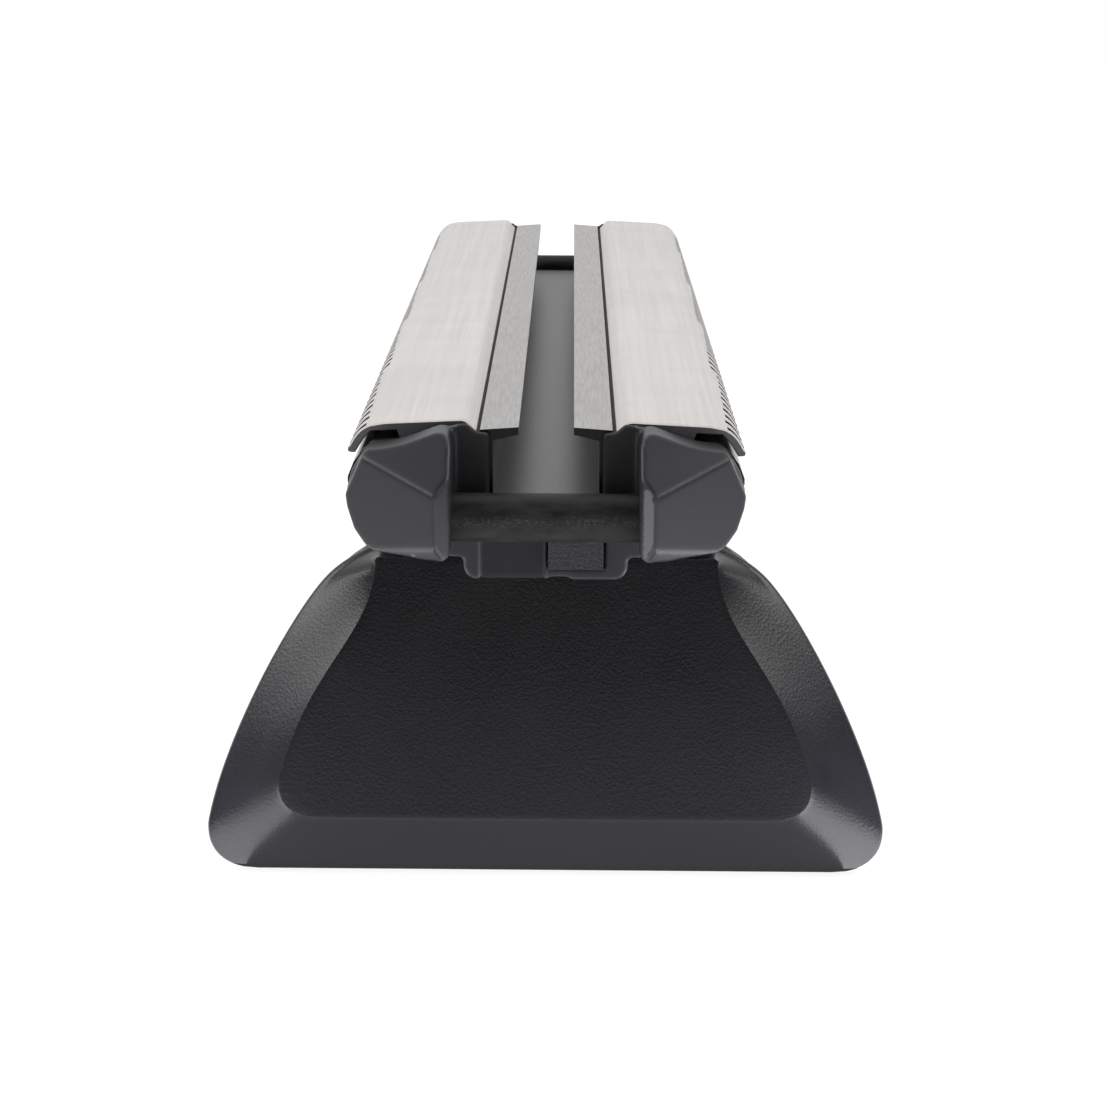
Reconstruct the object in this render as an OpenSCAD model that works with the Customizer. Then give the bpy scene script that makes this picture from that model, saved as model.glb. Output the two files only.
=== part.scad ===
// Roof bar foot with its load bar. X runs across the bar, Y along it, Z up, and the ground is Z = 0.

/* [Bar] */
// Length of the aluminium bar
bar_len = 322; // [260:1:700]
// Half of the bar's overall width
bar_half_w = 40; // [38:0.1:43]
// Height of the bar from its slot lips to the lowest face of its lower slot
bar_h = 29.2; // [28:0.1:33]
// Wall thickness of the bar's hollow section
bar_wall = 2.2; // [1.6:0.1:2.4]
// Width of the top slot's mouth
slot_mouth_w = 11.1; // [9:0.1:13]
// Width of the top slot below its lips
slot_w = 21.4; // [18:0.1:22]
// Depth of the top slot's floor below the lips
slot_depth = 14.9; // [12:0.1:15.5]
// Thickness of the slot lips at their root
lip_t = 2; // [1.4:0.1:2.4]
// Half of the width over both lips, where the strips begin
lip_half_span = 13.3; // [13:0.1:14]
// Width of the lower slot's mouth
low_mouth_w = 10.4; // [9:0.1:11]
// Width of the lower slot above its lips
low_slot_w = 25.2; // [22:0.1:25.4]
// Thickness of the lower slot's lips
low_lip_t = 2.4; // [1.8:0.1:3]

/* [Strips] */
// Length of each rubber strip
strip_len = 319.5; // [250:0.5:700]
// Height of the strips' crown above the slot lips
strip_crown = 1.1; // [0.6:0.1:1.6]
// Distance from the bar's front end to the left strip's front end
left_strip_start = 2; // [0.2:0.1:4]
// Distance from the bar's front end to the right strip's front end
right_strip_start = 0.4; // [0.2:0.1:4]
// Distance between the cross grooves on a strip's shoulder
groove_pitch = 6.8; // [5:0.1:12]
// Width of a cross groove
groove_w = 1.1; // [0.6:0.1:1.6]
// Number of grooves after which their length starts again
groove_run = 10; // [6:1:14]

/* [End caps] */
// Thickness of the cap's web over the bar's end
web_t = 2.5; // [2:0.1:4]
// How far the lobes' crest stands out from the bar's end
lobe_reach = 20.5; // [18:0.1:24]
// Half of the distance between the lobes
lobe_gap_half = 18.5; // [17:0.1:19]
// Outer radius of the tube between the lobes
tube_r = 4.9; // [4:0.05:5.2]
// Wall thickness of that tube
tube_wall = 1.5; // [1:0.1:2.5]
// Depth of the tube's axis below the slot lips
tube_drop = 15.9; // [15:0.1:16.2]
// How far the tube's axis stands out from the bar's end
tube_out = 8.6; // [8:0.1:10]
// Half of the lower boss's width
boss_half_w = 16.7; // [16.2:0.1:17.4]
// Depth of the lower boss's bottom below the slot lips
boss_drop = 30.5; // [29.9:0.1:31.5]
// How far the cap's plugs reach into the bar
plug_len = 14; // [11:0.5:24]

/* [Foot] */
// Height of the bar's lowest face above the ground
ride_h = 70; // [69:0.1:74]
// Half of the cover's width at its widest
cover_half_w = 72.5; // [70:0.1:76]
// Height of the cover's top above its lower edge
cover_h = 67.3; // [67:0.1:71]
// How far the raised panel stands out from the cover's rim
panel_rise = 9; // [6:0.1:12]
// How far the cover leans back for each millimetre of height
cover_lean = 0.28; // [0.2:0.01:0.34]
// Wall thickness of the cover
cover_wall = 2.4; // [1.8:0.1:3]
// Distance from the bar's end to the cover's lower front edge
cover_start = 8; // [5:0.5:10]
// Distance from the bar's end to the cover's back edge
cover_back = 34; // [33:0.5:38]
// Gap under the cover's lower edge
cover_gap = 0.8; // [0.4:0.1:1.2]
// Radius of the cover's snap studs
stud_r = 3; // [2.5:0.1:3.5]
// Thickness of the frame plate behind the cover
frame_t = 2.4; // [2:0.1:3]
// Length of the tower housing along the bar
shell_len = 94; // [90:1:110]
// Wall thickness of the tower housing
shell_wall = 3; // [2:0.1:3.2]
// Thickness of the folded steel bracket
bracket_t = 4; // [3:0.1:4.5]
// Half of the bracket's width over its legs
bracket_half_w = 30; // [28:0.5:31]
// Width of the bracket along the bar
bracket_len = 76; // [70:1:80]
// Thickness of the steel base plate
plate_t = 4; // [3:0.1:5]
// Thickness of the rubber pad
pad_t = 4; // [3:0.1:5]
// Radius of the holes for the vehicle's fixed points
mount_r = 4.25; // [3.25:0.05:5.25]
// Distance between the two fixed points
mount_pitch = 50; // [40:1:52]
// Nominal radius of the clamp bolts
clamp_r = 4; // [3:0.5:4]
// Distance between the clamp bolts
clamp_pitch = 54; // [48:1:58]

/* [Hidden] */

$fn = 48;
eps = 0.01;
// Clearance between a piece and its seat in the same assembly
seat_gap = 0.15;
// Radial clearance of a piece that moves in a hole
running_gap = 0.08;

black_plastic = [0.06, 0.06, 0.065];
black_rubber = [0.05, 0.05, 0.05];
strip_grey = [0.75, 0.74, 0.72];
bar_metal = [0.32, 0.32, 0.33];
steel = [0.62, 0.63, 0.65];
black_steel = [0.1, 0.1, 0.11];

// Bar section, measured from the slot lips' top and the centre plane
slot_half = slot_w / 2;
mouth_half = slot_mouth_w / 2;
// The lips rise a little towards the mouth
lip_rise = 0.55;
seat_drop = 2.2;
floor_t = 2.3;
low_top = slot_depth + floor_t;
low_half = low_slot_w / 2;
low_mouth_half = low_mouth_w / 2;
low_boss_half = low_half + 2.6;
// How far the lower slot's walls stand below the bar's underside
low_boss_h = 6.4;
underside = bar_h - low_boss_h;
strip_groove_x = 24;
strip_groove_half = 2.4;
strip_groove_drop = seat_drop + 2.5;
// Middle height and half height of the shallow groove along the bar's side
side_groove_z = 11.7;
side_groove_half = 0.7;
side_groove_depth = 0.7;

// Heights, all above the ground
lips_z = ride_h + bar_h;
plate_z = pad_t;
foot_z = plate_z + plate_t;
saddle_floor_z = ride_h - seat_gap;
bracket_top_z = ride_h - 5.8;

// How far the web reaches below the bar's underside between a lobe and the boss
web_foot = 3.1;
// Shallow open pocket in the boss, beside the slot plate
pocket_half_w = 13.4;
pocket_depth = 0.7;

// Cap screws
cap_screw_x = 25;
cap_screw_y = 7;
cap_screw_r = 1.9;
cap_screw_head_r = 3.3;
cap_screw_head_h = 1.8;

// Slot plate, which lies to the right of the centre plane
slot_plate_x0 = 0.5;
slot_plate_x1 = 11.7;
slot_plate_low = 28.1;
slot_plate_proud = 1;
slot_plate_plug = 8;

// Foot
cover_top_z = cover_gap + cover_h;
// The cover's top falls towards its back edge to this share of its height
cover_back_drop = 0.95;
// Room between the bar's lower boss and what lies under it
boss_clearance = 0.5;
boss_clear_z = lips_z - boss_drop - boss_clearance;
frame_y = cover_back + 0.2;
shell_y = frame_y + frame_t;
shell_end = shell_y + shell_len;
bracket_y = shell_y + 5;
bracket_mid = bracket_y + bracket_len / 2;
// Base plate, between the ends of the housing
plate_half_w = 52;
plate_corner = 9;
plate_end_gap = 1;
plate_y0 = shell_y + plate_end_gap;
plate_len = shell_len - shell_wall - 2 * plate_end_gap;
// Bracket screws, in the middle of its flanges, which end short of the plate's edge
foot_screw_x = (bracket_half_w + plate_half_w) / 2;
foot_screw_pitch = bracket_len - 24;
flange_inset = 2;
// Housing, clear of the base plate on both sides
plate_gap = 7;
shell_half_base = plate_half_w + plate_gap + shell_wall;
shell_half_top = 38;
shell_foot_z = 1.6;
shell_top_z = lips_z - underside - 0.5;
saddle_half_w = shell_half_top - shell_wall - 0.3;
// Shallow panel in the rear wall: half of its width below and above
rear_panel_low = shell_half_base - 26;
rear_panel_top = shell_half_top - 11;
// Snap studs: the upper pair beside the bracket's legs, the lower pair over the base plate
stud_places = [[bracket_half_w + stud_r + 1, ride_h - 30], [shell_half_base - 15, foot_z + 9]];
stud_len = cover_back + 11;
// Frame screws, between the upper and the lower studs
frame_screw_x = 42;
frame_screw_z = (stud_places[0][1] + stud_places[1][1]) / 2 + 1.5;
// The frame's window lies between the upper studs' seats
window_half_w = bracket_half_w - 6;

// A point on a cubic curve with the control points p
function curve_point(p, t) =
    pow(1 - t, 3) * p[0] + 3 * pow(1 - t, 2) * t * p[1] + 3 * (1 - t) * t * t * p[2] + pow(t, 3) * p[3];
// The points of a cubic curve after its first one
function curve(p, steps) = [for (i = [1:steps]) curve_point(p, i / steps)];
// A closed outline from its right half, which runs from the bottom to the top
function both_sides(half) =
    concat(half, [for (i = [len(half) - 1:-1:0]) [-half[i][0], half[i][1]]]);
// The outline moved inwards by d, for outlines that run anticlockwise
function inset(pts, d) = [for (i = [0:len(pts) - 1])
    let (a = pts[(i + len(pts) - 1) % len(pts)], b = pts[(i + 1) % len(pts)], s = (b - a) / norm(b - a))
    pts[i] + d * [-s[1], s[0]]];
// The triangles that close a ring of n points that both_sides made
function ring_cover(n) = [for (j = [0:n / 2 - 2], half = [0, 1])
    half == 0 ? [n - 1 - j, n - 2 - j, j + 1] : [n - 1 - j, j + 1, j]];
// A closed solid through rings of equal length, each made by both_sides
module skin(rings) {
    n = len(rings[0]);
    last = len(rings) - 1;
    points = [for (ring = rings, p = ring) p];
    sides = [for (k = [0:last - 1], i = [0:n - 1], half = [0, 1])
        let (a = k * n + i, b = k * n + (i + 1) % n)
        half == 0 ? [a, b, b + n] : [a, b + n, a + n]];
    back = [for (f = ring_cover(n)) [f[2], f[1], f[0]] + last * n * [1, 1, 1]];
    polyhedron(points, concat(ring_cover(n), sides, back));
}
// A section drawn in X and Z, pushed along Y from y0 by the length given
module along_bar(y0, length) {
    translate([0, y0 + length, 0]) rotate([90, 0, 0]) linear_extrude(length) children();
}
// Places a section that is measured from the slot lips
module at_lips() { translate([0, 0, lips_z]) children(); }
// Draws its children on both sides of the centre plane
module both() { children(); mirror([1, 0, 0]) children(); }
// Turns a front piece round to the bar's rear end
module at_rear() { translate([0, bar_len, 0]) rotate([0, 0, 180]) children(); }
// A flat rectangle with round corners, centred on X
module round_rect(half_w, length, r) {
    for (x = [r - half_w, half_w - r], y = [r, length - r]) translate([x, y]) circle(r);
    translate([-half_w, r]) square([2 * half_w, length - 2 * r]);
    translate([r - half_w, 0]) square([2 * (half_w - r), length]);
}

// Sections and places below are measured along the bar from its front end. The part's origin lies
// under the middle of the foot, between the two fixed points.
module from_bar_end() { translate([0, -bracket_mid, 0]) children(); }

// Bar
function bar_right_outline() = [
    [mouth_half, lip_rise], [lip_half_span, 0], [lip_half_span, -seat_drop],
    [strip_groove_x - strip_groove_half, -seat_drop], [strip_groove_x - strip_groove_half, -strip_groove_drop],
    [strip_groove_x + strip_groove_half, -strip_groove_drop], [strip_groove_x + strip_groove_half, -seat_drop],
    [bar_half_w - 5, -2.8], [bar_half_w - 2.8, -4.6], [bar_half_w - 1.2, -6.8], [bar_half_w, -9.8],
    [bar_half_w, side_groove_half - side_groove_z],
    [bar_half_w - side_groove_depth, side_groove_half / 2 - side_groove_z],
    [bar_half_w - side_groove_depth, -side_groove_half / 2 - side_groove_z],
    [bar_half_w, -side_groove_half - side_groove_z],
    [bar_half_w, 8.2 - underside], [bar_half_w - 1.3, 4.8 - underside], [bar_half_w - 3.4, 2 - underside],
    [bar_half_w - 6, -underside],
    [low_boss_half, -underside], [low_boss_half, -bar_h], [low_mouth_half, -bar_h],
    [low_mouth_half, low_lip_t - bar_h], [low_half, low_lip_t - bar_h], [low_half, -low_top], [0, -low_top],
    [0, -slot_depth], [slot_half, -slot_depth], [slot_half, -lip_t - 0.2],
    [mouth_half, lip_rise - lip_t * 0.75]];
function bar_chamber() = [
    [slot_half + bar_wall, -seat_drop - bar_wall],
    [strip_groove_x - strip_groove_half - 2.2, -seat_drop - bar_wall],
    [strip_groove_x - strip_groove_half - 1, -strip_groove_drop - bar_wall + 0.2],
    [strip_groove_x + strip_groove_half + 1, -strip_groove_drop - bar_wall + 0.2],
    [strip_groove_x + strip_groove_half + 2.2, -2.6 - bar_wall], [bar_half_w - 5.6, -2.8 - bar_wall],
    [bar_half_w - bar_wall - 0.8, -7.6], [bar_half_w - bar_wall, 1.5 - side_groove_z],
    [bar_half_w - bar_wall - 0.5, 0.7 - side_groove_z], [bar_half_w - bar_wall - 0.5, -0.7 - side_groove_z],
    [bar_half_w - bar_wall, -1.5 - side_groove_z], [bar_half_w - bar_wall, 8.6 - underside],
    [bar_half_w - bar_wall - 1.6, 5.2 - underside], [bar_half_w - 6.8, bar_wall - underside],
    [low_half + bar_wall, bar_wall - underside], [low_half + bar_wall, -low_top],
    [slot_half + bar_wall, -slot_depth]];
module bar_section() {
    both() difference() {
        polygon(bar_right_outline());
        polygon(bar_chamber());
    }
}
module bar_extrusion() {
    color(bar_metal) from_bar_end() at_lips() difference() {
        along_bar(0, bar_len) bar_section();
        for (y = [cap_screw_y, bar_len - cap_screw_y]) both()
            translate([cap_screw_x, y, -underside - 1]) cylinder(r = cap_screw_r + 0.1, h = bar_wall + 2);
    }
}

// Strips
function strip_outline() = concat(
    [[lip_half_span + 0.2, -seat_drop], [strip_groove_x - strip_groove_half + 0.2, -seat_drop],
        [strip_groove_x - strip_groove_half + 0.2, 0.2 - strip_groove_drop],
        [strip_groove_x + strip_groove_half - 0.2, 0.2 - strip_groove_drop],
        [strip_groove_x + strip_groove_half - 0.2, -seat_drop], [bar_half_w - 10.4, -seat_drop],
        [bar_half_w - 9.8, -0.7], [bar_half_w - 4.6, -0.9], [bar_half_w - 3, -2.7], [bar_half_w - 1.4, -5.3],
        [bar_half_w + 0.1, -4.9], [bar_half_w - 0.4, -3.6]],
    curve([[bar_half_w - 0.4, -3.6], [bar_half_w - 1.5, -1.4], [bar_half_w - 3, 0.2],
        [bar_half_w - 5.4, strip_crown - 0.6]], 6),
    [[bar_half_w - 9.6, strip_crown - 0.15], [bar_half_w - 16.4, strip_crown],
        [lip_half_span + 3, strip_crown - 0.05], [lip_half_span + 0.2, -1]]);
module strip(start) {
    count = floor((strip_len - 6) / groove_pitch);
    at_lips() difference() {
        along_bar(start, strip_len) polygon(strip_outline());
        for (i = [0:count]) {
            reach = 3.6 - 2 * (i % groove_run) / groove_run;
            translate([bar_half_w - reach, start + 3 + i * groove_pitch, -2.6]) cube([6, groove_w, 6]);
        }
    }
}
module left_strip() { color(strip_grey) from_bar_end() mirror([1, 0, 0]) strip(left_strip_start); }
module right_strip() { color(strip_grey) from_bar_end() strip(right_strip_start); }

// End caps
// Outline of the cap over the right half of the bar's end
function web_outline() = [
    [slot_half + 0.7, -0.4], [lip_half_span + 0.6, -0.2],
    [lip_half_span + 2.7, 1.6], [lip_half_span + 5.2, 1.1],
    [bar_half_w - 13.8, -1.4], [bar_half_w - 10.1, -1.9], [bar_half_w - 5.8, -2.2], [bar_half_w - 3.2, -4.2],
    [bar_half_w - 1, -8], [bar_half_w, -11.6], [bar_half_w - 0.3, 8 - underside],
    [bar_half_w - 2.4, 3.8 - underside], [bar_half_w - 4.8, 1.6 - underside], [bar_half_w - 9, 0.4 - underside],
    [lobe_gap_half + 2.5, -0.6 - underside], [lobe_gap_half + 1.2, -web_foot - underside],
    [0, -web_foot - underside], [0, -slot_depth],
    [slot_half + 0.7, -slot_depth]];
// Outline of one lobe, whose top rises in an S towards its inner side. Its outer side is two straight
// stretches that meet at the widest place.
function lobe_outline() = concat(
    [[lobe_gap_half, -1.6], [lobe_gap_half, 1.6 - underside], [lobe_gap_half + 0.5, 0.7 - underside],
        [lobe_gap_half + 2, 0.1 - underside], [lobe_gap_half + 5.5, -underside],
        [bar_half_w - 5.6, 0.3 - underside], [bar_half_w - 4.2, 1.1 - underside],
        [bar_half_w - 1.8, 4 - underside], [bar_half_w - 0.3, 8.4 - underside], [bar_half_w, -12],
        [bar_half_w - 1.9, -7.6], [bar_half_w - 3.8, -3.3], [bar_half_w - 4.6, -2.5]],
    curve([[bar_half_w - 4.6, -2.5], [bar_half_w - 12, -1.7], [lobe_gap_half + 6.5, 0.2],
        [lobe_gap_half + 2.8, 1.3]], 8),
    [[lobe_gap_half + 1.6, 1.3], [lobe_gap_half + 0.6, 0.6]]);
// Half space in front of a plane through point p, whose outward direction is turned by the angles
module cut_plane(p, tilt, turn) {
    translate(p) rotate([0, 0, turn]) rotate([tilt, 0, 0]) translate([-60, -60, -60]) cube([120, 60, 120]);
}
// One lobe: the outline pushed forwards, with its four facets cut from it
module lobe() {
    crest_x = lobe_gap_half + 3;
    difference() {
        along_bar(-lobe_reach, lobe_reach - 1) polygon(lobe_outline());
        // Outer facet, which falls away from the upright crest to the cap's side
        cut_plane([crest_x, -lobe_reach, 0], 0, 37.6);
        // Upper facet, from the slanting ridge to the top edge
        cut_plane([crest_x, -lobe_reach, -9.1], -45.6, 20.9);
        // Inner facet beside the crest
        cut_plane([crest_x, -lobe_reach, 0], 0, -45);
        // Lower facet
        cut_plane([crest_x, -lobe_reach, 3.2 - underside], 38, 30);
    }
}
module end_cap() {
    at_lips() difference() {
        union() {
            both() {
                along_bar(-web_t, web_t) polygon(web_outline());
                lobe();
                // Plug in the bar's side chamber
                along_bar(-1, plug_len + 1) polygon([
                    [low_half + bar_wall + 0.4, -7.4], [bar_half_w - 5.6, -7.6], [bar_half_w - 3.3, -10.6],
                    [bar_half_w - 3.3, 9 - underside], [bar_half_w - 5.6, 4.8 - underside],
                    [bar_half_w - 7.6, 2.5 - underside],
                    [low_half + bar_wall + 0.4, 2.5 - underside]]);
            }
            // Lower boss, which closes the end of the bar's lower slot
            along_bar(-web_t, web_t) lower_boss();
        }
        both() translate([0, -tube_out, -tube_drop]) rotate([0, 90, 0])
            translate([0, 0, lobe_gap_half - 1]) cylinder(r = tube_r, h = 7);
        // Window for the slot plate, and the shallow pocket beside it
        translate([slot_plate_x0 - 0.1, -web_t - 1, -slot_plate_low - 0.1])
            cube([slot_plate_x1 - slot_plate_x0 + 0.2, web_t + 2, slot_plate_low - low_top - 0.3]);
        translate([-pocket_half_w, -web_t - 1, -boss_drop - 1])
            cube([pocket_half_w, 1 + pocket_depth, boss_drop - low_top - 1]);
        // Notch in the boss's lower edge
        translate([slot_plate_x0, -web_t - 1, -boss_drop - 1]) cube([4.4, web_t + 2, 1.6]);
        both() translate([cap_screw_x, cap_screw_y, -underside - 1])
            cylinder(r = cap_screw_r, h = 12);
    }
}
module lower_boss() {
    r = 2.8;
    for (x = [r - boss_half_w, boss_half_w - r]) translate([x, r - boss_drop]) circle(r);
    translate([-boss_half_w, r - boss_drop]) square([2 * boss_half_w, boss_drop - r - low_top - 0.2]);
    translate([r - boss_half_w, -boss_drop]) square([2 * (boss_half_w - r), boss_drop - low_top - 0.2]);
}
module front_end_cap() { color(black_plastic) from_bar_end() end_cap(); }
module rear_end_cap() { color(black_plastic) from_bar_end() at_rear() end_cap(); }

// Tube between the lobes
module stop_tube() {
    at_lips() translate([0, -tube_out, -tube_drop]) rotate([0, 90, 0]) difference() {
        cylinder(r = tube_r - 0.02, h = 2 * lobe_gap_half + 9, center = true);
        cylinder(r = tube_r - tube_wall, h = 2 * lobe_gap_half + 10, center = true);
    }
}
module front_stop_tube() { color(black_steel) from_bar_end() stop_tube(); }
module rear_stop_tube() { color(black_steel) from_bar_end() at_rear() stop_tube(); }

// Plate in the cap's window, with a plug that fits in the lower slot
module slot_plate() {
    at_lips() {
        translate([slot_plate_x0, -web_t - slot_plate_proud, -slot_plate_low])
            cube([slot_plate_x1 - slot_plate_x0, web_t + slot_plate_proud, slot_plate_low - low_top - 0.5]);
        translate([slot_plate_x0 + 0.4, -eps, low_lip_t + 0.3 - bar_h])
            cube([slot_plate_x1 - slot_plate_x0 - 0.8, slot_plate_plug, bar_h - low_lip_t - low_top - 0.8]);
    }
}
module front_slot_plate() { color(black_plastic) from_bar_end() slot_plate(); }
module rear_slot_plate() { color(black_plastic) from_bar_end() at_rear() slot_plate(); }

// A pan-head screw along +Z whose head bears on Z = 0 from below
module pan_screw(r, length, head_r, head_h) {
    cylinder(r = r, h = length);
    difference() {
        union() {
            translate([0, 0, -head_h * 0.6]) cylinder(r = head_r, h = head_h * 0.6);
            translate([0, 0, -head_h]) cylinder(r1 = head_r * 0.75, r2 = head_r, h = head_h * 0.4);
        }
        translate([0, 0, -head_h - eps]) cylinder(r = head_r * 0.42, h = head_h * 0.55, $fn = 6);
    }
}
module cap_screws() {
    both() translate([cap_screw_x, cap_screw_y, lips_z - underside])
        pan_screw(cap_screw_r - 0.05, 10, cap_screw_head_r, cap_screw_head_h);
}
module front_cap_screws() { color(black_steel) from_bar_end() cap_screws(); }
module rear_cap_screws() { color(black_steel) from_bar_end() at_rear() cap_screws(); }

// Cover
// Right halves of the cover's outlines, from bottom to top. Both have the same number of points.
function rim_half() = let (w = cover_half_w, z0 = cover_gap, top = cover_top_z) concat(
    [[w - 11, z0]],
    curve([[w - 11, z0], [w - 4, z0], [w + 0.3, z0 + 3.2], [w, z0 + 9.5]], 7),
    curve([[w, z0 + 9.5], [w - 3.1, z0 + 27.1], [w - 18.2, top - 13.4], [w - 25.5, top - 6.4]], 12),
    curve([[w - 25.5, top - 6.4], [w - 27.8, top - 4.2], [w - 31, top - 2.2], [w - 35, top - 0.4]], 4),
    [[w - 38.5, top]]);
function panel_half() = let (w = cover_half_w, z0 = cover_gap, top = cover_top_z) concat(
    [[w - 24.4, z0 + 13.7]],
    curve([[w - 24.4, z0 + 13.7], [w - 19.4, z0 + 13.8], [w - 16.4, z0 + 16.6], [w - 17, z0 + 21.5]], 7),
    curve([[w - 17, z0 + 21.5], [w - 22.4, top - 23.5], [w - 34.8, top - 17.5], [w - 36.6, top - 3.4]], 12),
    curve([[w - 36.6, top - 3.4], [w - 36.8, top - 2.6], [w - 36.8, top - 1.7], [w - 36.6, top - 1.1]], 4),
    [[w - 37.6, top - 0.4]]);
// A leaning ring at the distance y from the bar's end, measured at ground level
function leaning(pts, y) = [for (p = pts) [p[0], y + cover_lean * p[1], p[1]]];
function upright(pts, y) = [for (p = pts) [p[0], y, p[1]]];
module cover_form(d) {
    rim = both_sides(rim_half());
    panel = both_sides(panel_half());
    skin([
        leaning(inset(panel, 0.5 + d * 0.8), cover_start - panel_rise + d),
        leaning(inset(panel, d * 0.8), cover_start - panel_rise + 0.35 + d),
        leaning(inset(rim, 1.8 + d), cover_start - 0.5 + d),
        leaning(inset(rim, 0.5 + d), cover_start + 0.4 + d),
        leaning(inset(rim, d), cover_start + 1.6 + d),
        [for (p = upright(inset(rim, 0.7 + d), cover_back + (d > 0 ? 1 : 0)))
            [p[0], p[1], p[2] * cover_back_drop]]]);
}
// Way for the bar's lower boss over a piece of the foot
module boss_way(y0, length) {
    translate([-boss_half_w - 1, y0, boss_clear_z]) cube([2 * boss_half_w + 2, length, 20]);
}
// One of the four studs, which snap into the grommets
module cover_stud(x, z) {
    start = cover_start - panel_rise + cover_lean * z + cover_wall / 2;
    translate([x, start, z]) rotate([-90, 0, 0]) {
        cylinder(r = stud_r, h = stud_len - start);
        translate([0, 0, stud_len - start]) cylinder(r1 = stud_r, r2 = stud_r - 0.8, h = 1.4);
    }
}
module cover() {
    color(black_plastic) from_bar_end() {
        difference() {
            cover_form(0);
            cover_form(cover_wall);
            boss_way(-10, 60);
        }
        for (p = stud_places) both() cover_stud(p[0], p[1]);
    }
}

// Frame plate behind the cover
function frame_half() = concat(
    [[cover_half_w - 17, pad_t]],
    curve([[cover_half_w - 17, pad_t], [cover_half_w - 9, pad_t], [cover_half_w - 5, 8],
        [cover_half_w - 5.4, 13]], 6),
    curve([[cover_half_w - 5.4, 13], [cover_half_w - 8.6, 29], [cover_half_w - 19.4, cover_top_z - 15.4],
        [cover_half_w - 25.4, cover_top_z - 8.8]], 8),
    [[cover_half_w - 30.2, cover_top_z - 4.6], [cover_half_w - 35.4, cover_top_z - 1],
        [cover_half_w - 36.4, cover_top_z - 0.3]]);
module cover_frame() {
    color(black_plastic) from_bar_end() difference() {
        union() {
            along_bar(frame_y, frame_t) polygon(both_sides(frame_half()));
            for (p = stud_places) both() translate([p[0], frame_y, p[1]]) rotate([-90, 0, 0])
                cylinder(r = stud_r + 3.6, h = 6);
        }
        boss_way(frame_y - 1, frame_t + 2);
        // Window that gives access to the fixed points' bolts
        translate([-window_half_w, frame_y - 1, foot_z + 1])
            cube([2 * window_half_w, frame_t + 2, bracket_top_z - foot_z - 16.2]);
        for (p = stud_places) both() translate([p[0], frame_y - 1, p[1]]) rotate([-90, 0, 0])
            cylinder(r = stud_r + 1.8, h = 8);
        both() translate([frame_screw_x, frame_y - 1, frame_screw_z]) rotate([-90, 0, 0])
            cylinder(r = 2.1, h = frame_t + 2);
    }
}
module cover_grommets() {
    color(black_rubber) from_bar_end() for (p = stud_places) both()
        translate([p[0], frame_y, p[1]]) rotate([-90, 0, 0]) difference() {
            cylinder(r = stud_r + 1.78, h = 6.4);
            translate([0, 0, -1]) cylinder(r = stud_r + running_gap, h = 9);
        }
}
module frame_screws() {
    color(black_steel) from_bar_end() both() translate([frame_screw_x, frame_y, frame_screw_z])
        rotate([-90, 0, 0]) pan_screw(1.95, 14, 3.6, 2.2);
}

// Tower housing
// Half outline: half width at the base, half width at the top, and the top's height
function shell_half(base, top_w, top) = concat(
    [[base - 5, shell_foot_z]],
    curve([[base - 5, shell_foot_z], [base - 2, shell_foot_z], [base, shell_foot_z + 2], [base, 7]], 4),
    curve([[base, 7], [base - 1.6, 23.9], [top_w + 5, top - 34], [top_w, top - 14]], 10),
    [[top_w, top]]);
// Share of the length, half width at the base and at the top, and how far the top drops, front to rear
function shell_stations() = let (b = shell_half_base, t = shell_half_top) [
    [0, b, t, 0], [0.3, b - 0.6, t, 0], [0.62, b - 2, t, 0], [0.84, b - 4, t - 0.2, 0],
    [0.94, b - 6, t - 1, 0.3], [0.985, b - 7.6, t - 2.2, 1.2], [1, b - 9, t - 3.4, 2.4]];
module shell_form(d) {
    skin([for (s = shell_stations())
        let (ring = inset(both_sides(shell_half(s[1], s[2], shell_top_z - s[3])), d),
            y = shell_y + (shell_len - d) * s[0] - (d > 0 && s[0] == 0 ? 1 : 0))
        // The inner form runs out below, which leaves the housing open to the base plate
        [for (p = ring) [p[0], y, d > 0 && p[1] < 7 ? 4 * p[1] - 21 : p[1]]]]);
}
module tower_shell() {
    color(black_plastic) from_bar_end() difference() {
        union() {
            difference() {
                shell_form(0);
                shell_form(shell_wall);
                // Open above for the saddle
                translate([-saddle_half_w - 0.2, shell_y - 1, shell_top_z - 12])
                    cube([2 * saddle_half_w + 0.4, shell_len - shell_wall, 20]);
            }
            // Bosses for the frame's screws, each on a rib that ends in the side wall
            both() translate([frame_screw_x, shell_y, frame_screw_z]) rotate([-90, 0, 0])
                cylinder(r = 4.2, h = 18);
            intersection() {
                shell_form(shell_wall / 2);
                both() translate([frame_screw_x, shell_y, frame_screw_z - 1.2])
                    cube([shell_half_base, 18, 2.4]);
            }
        }
        boss_way(shell_y - 1, shell_len + 10);
        both() translate([frame_screw_x, shell_y - 1, frame_screw_z]) rotate([-90, 0, 0])
            cylinder(r = 2, h = 15);
        // Shallow panel in the rear wall
        translate([0, shell_end - 0.9, 0]) along_bar(0, 3) polygon([
            [-rear_panel_low, 12], [rear_panel_low, 12], [rear_panel_top, shell_top_z - 21.9],
            [-rear_panel_top, shell_top_z - 21.9]]);
    }
}

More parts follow.
